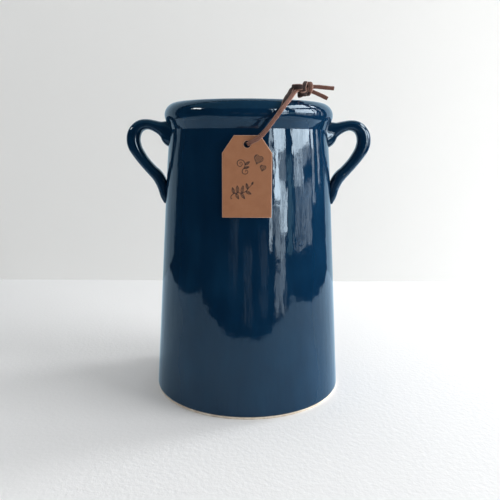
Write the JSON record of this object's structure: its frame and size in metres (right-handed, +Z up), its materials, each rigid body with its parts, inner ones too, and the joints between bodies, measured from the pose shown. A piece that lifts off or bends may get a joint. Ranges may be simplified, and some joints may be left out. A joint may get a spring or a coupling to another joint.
{
  "type": "churn-shaped amphora vase",
  "caption": "Tall glazed churn-shaped vase with rolled rim and strap handles, hung with a leather gift tag on a knotted suede lace.",
  "frame": {"origin": "centre of the foot on the surface that the vase stands on", "axes": "+Z up; the handles lie along X; the tag hangs on the -Y side"},
  "size_m": [0.2112, 0.1646, 0.265],
  "materials": {
    "navy_glaze": "deep glossy navy glaze, slightly thinner and bluer where it breaks over edges",
    "bare_clay": "unglazed fired clay, matt, pale buff",
    "tan_leather": "vegetable-tanned leather, satin, fine grain, with burnished edges",
    "brown_suede": "flat-cut suede lace, matt nap with paler cut edges"
  },
  "bodies": {
    "vase": {"body_wall": "navy_glaze", "floor_disc": "navy_glaze", "foot_ring": "bare_clay", "rim_collar": "navy_glaze", "handle_left": "navy_glaze", "handle_right": "navy_glaze"},
    "lace_top": {"lace_over_rim_front": "brown_suede", "lace_over_rim_rear": "brown_suede", "lace_knot": "brown_suede", "lace_tail_upper": "brown_suede", "lace_tail_lower": "brown_suede"},
    "lace_hanging": {"lace_loop": "brown_suede"},
    "tag": {"leather_tag": "tan_leather"}
  },
  "joints": [
    {"name": "tag_lift", "type": "slide", "parent": "vase", "child": "lace_top", "axis": [0, -0.5, 0.866], "range_m": [0, 0.12]},
    {"name": "loop_swing", "type": "hinge", "parent": "lace_top", "child": "lace_hanging", "pos_m": [0.022, -0.0765, 0.2392], "axis": [-1, 0, 0], "range_deg": [0, 60]},
    {"name": "tag_turn", "type": "hinge", "parent": "lace_hanging", "child": "tag", "pos_m": [-0.0008, -0.0737, 0.2161], "axis": [0, -0.9999, 0.0122], "range_deg": [-25, 25]}
  ]
}
